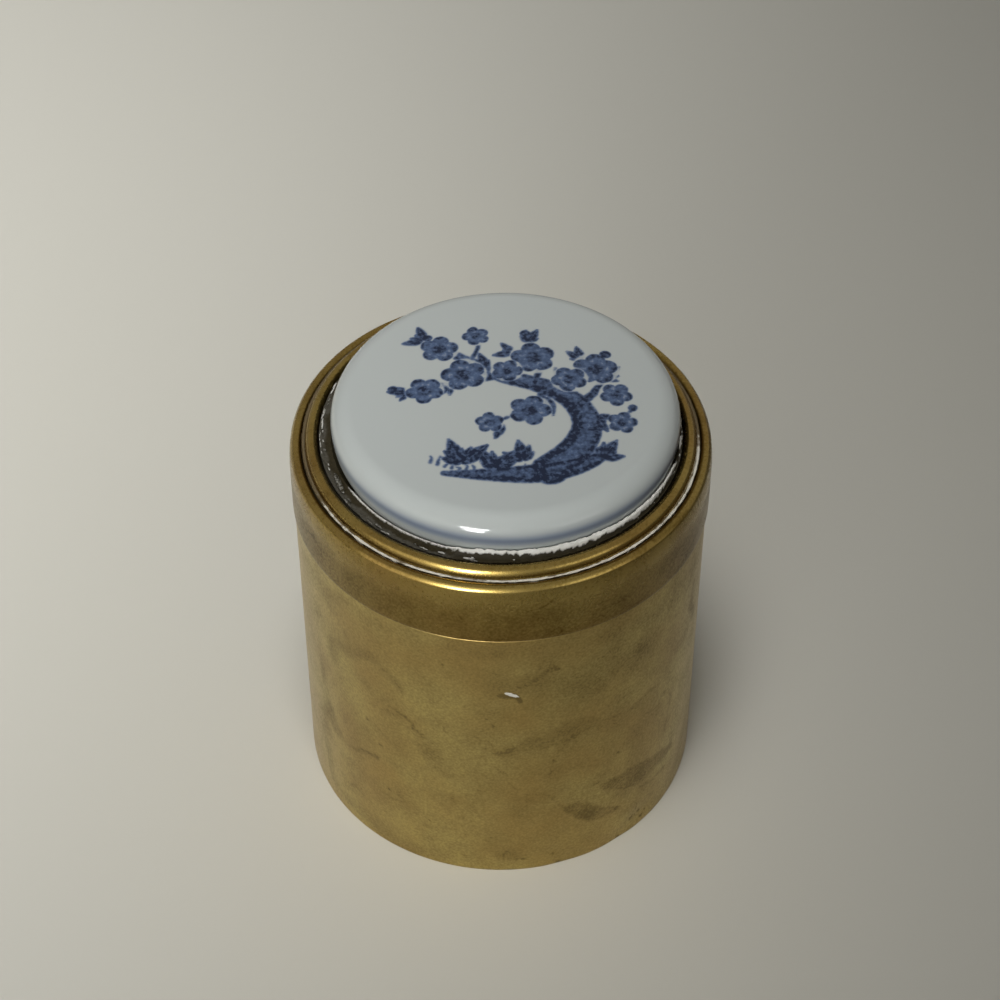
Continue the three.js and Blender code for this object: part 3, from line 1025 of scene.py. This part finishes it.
# Sprays of leaves: across, up, middle direction in degrees, spread, count and length.
SPRAYS = (
    (9, 2.5, 100, 70, 4, 3.6), (14.8, 4, 20, 60, 3, 3.2), (6, -0.2, 250, 70, 4, 3.6),
    (-3, 6, 120, 80, 4, 3.4), (-8.4, 2.6, 230, 80, 4, 3.4), (-12.4, 12.6, 150, 80, 4, 3.0),
    (3.4, 12, 80, 90, 4, 3.2), (13.4, -4.4, 330, 60, 3, 3.2), (-0.4, -6, 210, 80, 4, 3.0),
    (-14.6, 0.8, 190, 90, 4, 2.8),
    (11.6, 8.2, 140, 70, 3, 3.0), (1.2, 9.6, 160, 60, 3, 3.0),
    (-6.5, -14.4, 100, 110, 6, 4.6), (-1.6, -15.6, 85, 110, 6, 4.2), (2.6, -13.8, 100, 100, 5, 3.8),
    (14.2, -13, 60, 100, 5, 3.8),
)
# Buds: across, up and size.
BUDS = (
    (15.2, 9.6, 0.85), (-17, 1.6, 0.75), (3.0, 14.2, 0.8),
    (19, -2.2, 0.7), (-12, 13.2, 0.7), (-5, 15.2, 0.6),
)


def petal(face, root, turn, length, width):
    """Pointed leaf: how much of it lies on each point, and how far each point is from its middle line."""
    along = np.array([math.cos(turn), math.sin(turn)])
    reach = (face - root) @ along / length
    aside = np.abs((face - root) @ np.array([-along[1], along[0]]))
    half = width / 2 * np.sin(np.pi * np.clip(reach, 0, 1) ** 0.75)
    return smooth_step(SOFT_EDGE / 2, -SOFT_EDGE / 2, aside - half) * (half > 0.02 * width), aside


def printed_ink(face):
    """The strength of the cobalt at each point of the face."""
    ink = np.zeros(len(face))
    for step in range(26):
        across = -11 + step * 1.05
        foot_line = -16.4 + 0.02 * across * across
        height = 1.2 + 0.9 * math.sin(2.6 * step)
        blade = ((across, foot_line, 0.45), (across + 0.2, foot_line + height * 0.6, 0.35),
                 (across + 0.5 * math.sin(step), foot_line + height, 0.12))
        ink = np.maximum(ink, GRASS_INK * stroke(face, blade, SOFT_EDGE))
    for path in TWIGS:
        ink = np.maximum(ink, TWIG_INK * stroke(face, path, SOFT_EDGE))
    for path, lit in ((BANK, 0.35), (TRUNK, 0.4)):
        middle = [(across + 0.12 * width, up + 0.1 * width, width * 0.5) for across, up, width in path]
        core = stroke(face, middle, 0.8)
        ink = np.maximum(ink, stroke(face, path, SOFT_EDGE) * (1.05 - lit * core))
    for across, up, middle, spread, count, length in SPRAYS:
        for leaf in range(count):
            turn = math.radians(middle + spread * (leaf / (count - 1) - 0.5))
            size = BLOOM * length * (0.8 + 0.25 * math.cos(2.1 * leaf + across))
            laid, aside = petal(face, (across, up), turn, size, 0.4 * size)
            ink = np.maximum(ink, laid * (LEAF_INK - 0.3 * smooth_step(0.16, 0.0, aside)))
    for across, up, width, turn in BLOSSOMS:
        size = BLOOM * width
        away = np.linalg.norm(face - (across, up), axis=1)
        cup = np.zeros(len(face))
        for leaf in range(5):
            angle = turn + leaf * 2 * math.pi / 5
            heart = (across + 0.56 * size * math.cos(angle), up + 0.56 * size * math.sin(angle))
            outside = np.linalg.norm(face - heart, axis=1) - 0.42 * size
            cup = np.maximum(cup, smooth_step(0.2, -0.2, outside))
        clear = smooth_step(0.25, -0.25, away - 1.06 * size)
        wash = 0.5 + 0.45 * smooth_step(0.5 * size, 1.0 * size, away)
        wash += 0.4 * smooth_step(0.5 * size, 0.2 * size, away)
        ink = np.maximum(ink * (1 - 0.85 * clear * (1 - cup)), 0) * (1 - cup) + cup * wash
        ink = np.maximum(ink, 0.95 * smooth_step(0.15, -0.15, away - 0.2 * size))
    for across, up, size in BUDS:
        away = np.linalg.norm(face - (across, up), axis=1)
        ink = np.maximum(ink, BUD_INK * smooth_step(0.2, -0.2, away - size))
    return ink


class Plaque(bpy.types.Operator):
    """Builds the porcelain plaque with its printed face"""

    bl_idname = "brass_box.plaque"
    bl_label = "Porcelain plaque"

    def execute(self, context):
        """Rounds a fine grid into the face, then draws the edge and the back out of its border."""
        settings = context.scene.brass_box.plaque
        rim, low, high = extent("porcelain_plaque")
        edge, waist = settings.edge_radius, low + settings.waist_height
        inset = rim - edge
        # The dome meets the rounded edge where both have the same slope.
        slope = 0.0
        for _ in range(40):
            reach = inset + edge * math.sin(slope)
            lift = waist + edge * math.cos(slope) + reach * math.tan(slope / 2)
            slope += (high - lift) / rim
        dome = reach / math.sin(slope)

        def face_height(radius):
            """Height of the face at a radius."""
            if radius < reach:
                return high - dome + math.sqrt(dome**2 - radius**2)
            return waist + math.sqrt(max(edge**2 - (radius - inset) ** 2, 0))

        mesh = bmesh.new()
        bmesh.ops.create_grid(mesh, x_segments=PRINT_CELLS, y_segments=PRINT_CELLS, size=1)
        for vert in mesh.verts:
            x, y = vert.co.x, vert.co.y
            vert.co.x = x * math.sqrt(1 - y * y / 2) * PRINT_RADIUS
            vert.co.y = y * math.sqrt(1 - x * x / 2) * PRINT_RADIUS
            vert.co.z = face_height(vert.co.xy.length)
        first = math.asin((PRINT_RADIUS - inset) / edge)
        rings = []
        for step in range(1, EDGE_RINGS + 1):
            out = inset + edge * math.sin(first + (math.pi / 2 - first) * step / EDGE_RINGS)
            rings.append((out, face_height(out)))
        under = settings.back_round
        for step in range(1, BACK_RINGS + 1):
            turn = math.pi / 2 * step / BACK_RINGS
            rings.append((rim - under + under * math.cos(turn), waist - (waist - low) * math.sin(turn)))
        rings.append((0, low))
        border = [item for item in mesh.edges if item.is_boundary]
        for radius, height in rings:
            made = bmesh.ops.extrude_edge_only(mesh, edges=border)["geom"]
            border = [item for item in made if isinstance(item, bmesh.types.BMEdge) and item.is_boundary]
            for vert in (item for item in made if isinstance(item, bmesh.types.BMVert)):
                flat = vert.co.xy.normalized() * radius
                vert.co = (flat.x, flat.y, height)
        mended(mesh)
        middle = centre("porcelain_plaque")
        bmesh.ops.translate(mesh, verts=mesh.verts, vec=(middle.x, middle.y, 0))
        finish = once("Glazed porcelain with cobalt print", porcelain_finish, settings)
        piece = finished("plaque", mesh, "lid", "porcelain", finish, "porcelain_plaque")
        points = places(piece)
        below = (points[:, 2] - waist) / (settings.rim_line_width / 2)
        bold = LINE_INK + LINE_BOLDER * between(BOLD_SIDE, round_from_front(points))
        paint(piece, "line", bold * np.exp(-(below**2)))
        ink = np.zeros(len(points))
        face = points[:, 2] > waist + edge / 2
        ink[face] = printed_ink((points[face, :2] - np.array(middle)) / MM)
        paint(piece, "ink", ink)
        return {"FINISHED"}


# The stage

# The camera: where it stands, and how far it looks down, turns and rolls, in radians.
CAMERA_PLACE = (0, -274.43 * MM, 331.34 * MM)
CAMERA_DOWN = 0.7922
CAMERA_TURN = 0.0004
CAMERA_ROLL = 0.0022
LID_MIDDLE = Vector((0, 0, 0.065))
# Lights: a window of two panes at the front left and a dim one at the right, which only show as a gloss, the
# broad glow left of the first, a soft light from its side, and a soft beam from above on the left.
WINDOW_WAY = Vector((-0.285, -0.93, 0.165))
WINDOW_AWAY = 0.9
UPPER_PANE = (0.26, 0.09)
LOWER_PANE = (0.17, 0.12)
PANE_RISE = 0.08
CURTAIN_WAY = Vector((-0.52, -0.82, 0.232))
SIDE_WAY = Vector((0.663, -0.706, 0.25))
SIDE_SIZE = (0.5, 0.25)
FRONT_SIZE = (0.6, 0.5)
CURTAIN_SIZE = (1.35, 0.5)
CEILING_PLACE = Vector((-0.16, -0.16, 1.0))
CEILING_AIM = Vector((-0.31, 0.14, 0))
CEILING_SIZE = (0.4, 0.4)
CEILING_SPREAD = math.radians(54)
ROOM_COLOUR = "#FFFAF0"
ROOM_LEVEL = 0.05
BACKGROUND_LEVEL = 0.42
FLOOR_REACH = 4
SENSOR_WIDTH = 36


def hang_light(name, place, aim, size, power):
    """A soft rectangular lamp that points at a spot."""
    lamp = bpy.data.lights.new(name, "AREA")
    lamp.shape = "RECTANGLE"
    lamp.size, lamp.size_y = size
    lamp.energy = power
    light = bpy.data.objects.new(name, lamp)
    light.location = place
    light.rotation_euler = (aim - place).to_track_quat("-Z", "Y").to_euler()
    bpy.context.scene.collection.objects.link(light)
    return light


class Stage(bpy.types.Operator):
    """Builds the floor, the light and the camera"""

    bl_idname = "brass_box.stage"
    bl_label = "Stage"

    def execute(self, context):
        """Lays a plain floor, hangs soft lights and sets the camera."""
        settings = context.scene.brass_box.stage
        mesh = bmesh.new()
        bmesh.ops.create_grid(mesh, x_segments=8, y_segments=8, size=FLOOR_REACH)
        data = bpy.data.meshes.new("floor")
        mesh.to_mesh(data)
        mesh.free()
        data.materials.append(once("Plain matt board", floor_finish, settings))
        floor = bpy.data.objects.new("floor", data)
        context.scene.collection.objects.link(floor)
        window = LID_MIDDLE + WINDOW_WAY.normalized() * WINDOW_AWAY
        curtain = LID_MIDDLE + CURTAIN_WAY.normalized() * (WINDOW_AWAY + 0.05)
        for name, size, side in (("upper_pane", UPPER_PANE, 1), ("lower_pane", LOWER_PANE, -1)):
            place = window + Vector((0, 0, side * PANE_RISE))
            hang_light(name, place, LID_MIDDLE, size, settings.window / 2).visible_diffuse = False
        hang_light("front_light", window, LID_MIDDLE, FRONT_SIZE, settings.front).visible_glossy = False
        hang_light("curtain", curtain, LID_MIDDLE, CURTAIN_SIZE, settings.curtain)
        side = LID_MIDDLE + SIDE_WAY.normalized() * WINDOW_AWAY
        hang_light("side_light", side, LID_MIDDLE, SIDE_SIZE, settings.side).visible_diffuse = False
        ceiling = hang_light("ceiling_light", CEILING_PLACE, CEILING_AIM, CEILING_SIZE, settings.ceiling)
        ceiling.data.spread = CEILING_SPREAD
        ceiling.visible_glossy = False
        self.light_room(context)
        self.set_camera(context, settings.lens)
        context.scene.view_settings.view_transform = "Standard"
        return {"FINISHED"}

    def light_room(self, context):
        """An even room light, with a paler background where the eye or a gloss sees it."""
        world = bpy.data.worlds.new("Soft room")
        world.use_nodes = True
        tree = world.node_tree
        tree.nodes.clear()
        ray = add_node(tree, "LightPath").outputs
        seen = add_node(
            tree, "Math", {0: ray["Is Camera Ray"], 1: ray["Is Glossy Ray"]}, operation="MAXIMUM"
        )
        shown = add_node(tree, "Math", {0: seen, 1: ray["Is Transmission Ray"]}, operation="MAXIMUM")
        level = add_node(tree, "MapRange", {0: shown, 3: ROOM_LEVEL, 4: BACKGROUND_LEVEL})
        background = add_node(tree, "Background", {0: opaque(linear(ROOM_COLOUR)), 1: level})
        add_node(tree, "OutputWorld", {0: background})
        context.scene.world = world

    def set_camera(self, context, lens):
        """A camera that looks down on the box from the front."""
        camera = bpy.data.objects.new("camera", bpy.data.cameras.new("camera"))
        camera.data.lens = lens
        camera.data.sensor_width = SENSOR_WIDTH
        camera.matrix_world = (
            Matrix.Translation(CAMERA_PLACE)
            @ Matrix.Rotation(CAMERA_TURN, 4, "Z")
            @ Matrix.Rotation(math.pi / 2 - CAMERA_DOWN, 4, "X")
            @ Matrix.Rotation(CAMERA_ROLL, 4, "Z")
        )
        context.scene.collection.objects.link(camera)
        context.scene.camera = camera


PIECES = (BodyShell, BaseDisc, NeckSleeve, LidBand, Mouldings, GrooveLine, CementBed, Plaque, Stage)


class BrassBoxPanel(bpy.types.Panel):
    """Lists the operators that build the box"""

    bl_idname = "VIEW3D_PT_brass_box"
    bl_label = "Brass Box"
    bl_space_type = "VIEW_3D"
    bl_region_type = "UI"
    bl_category = "Brass Box"

    def draw(self, context):
        """One button for each piece."""
        for piece in PIECES:
            self.layout.operator(piece.bl_idname)


CLASSES = (BodySettings, LidSettings, PlaqueSettings, StageSettings, BoxSettings, *PIECES, BrassBoxPanel)


def register():
    """Adds the classes and the scene's settings."""
    for cls in CLASSES:
        bpy.utils.register_class(cls)
    bpy.types.Scene.brass_box = bpy.props.PointerProperty(type=BoxSettings)


def unregister():
    """Takes the classes and the scene's settings away."""
    del bpy.types.Scene.brass_box
    for cls in reversed(CLASSES):
        bpy.utils.unregister_class(cls)


def main():
    """Builds the box piece by piece."""
    register()
    for piece in PIECES:
        group, operator = piece.bl_idname.split(".")
        getattr(getattr(bpy.ops, group), operator)()


if __name__ == "__main__":
    main()
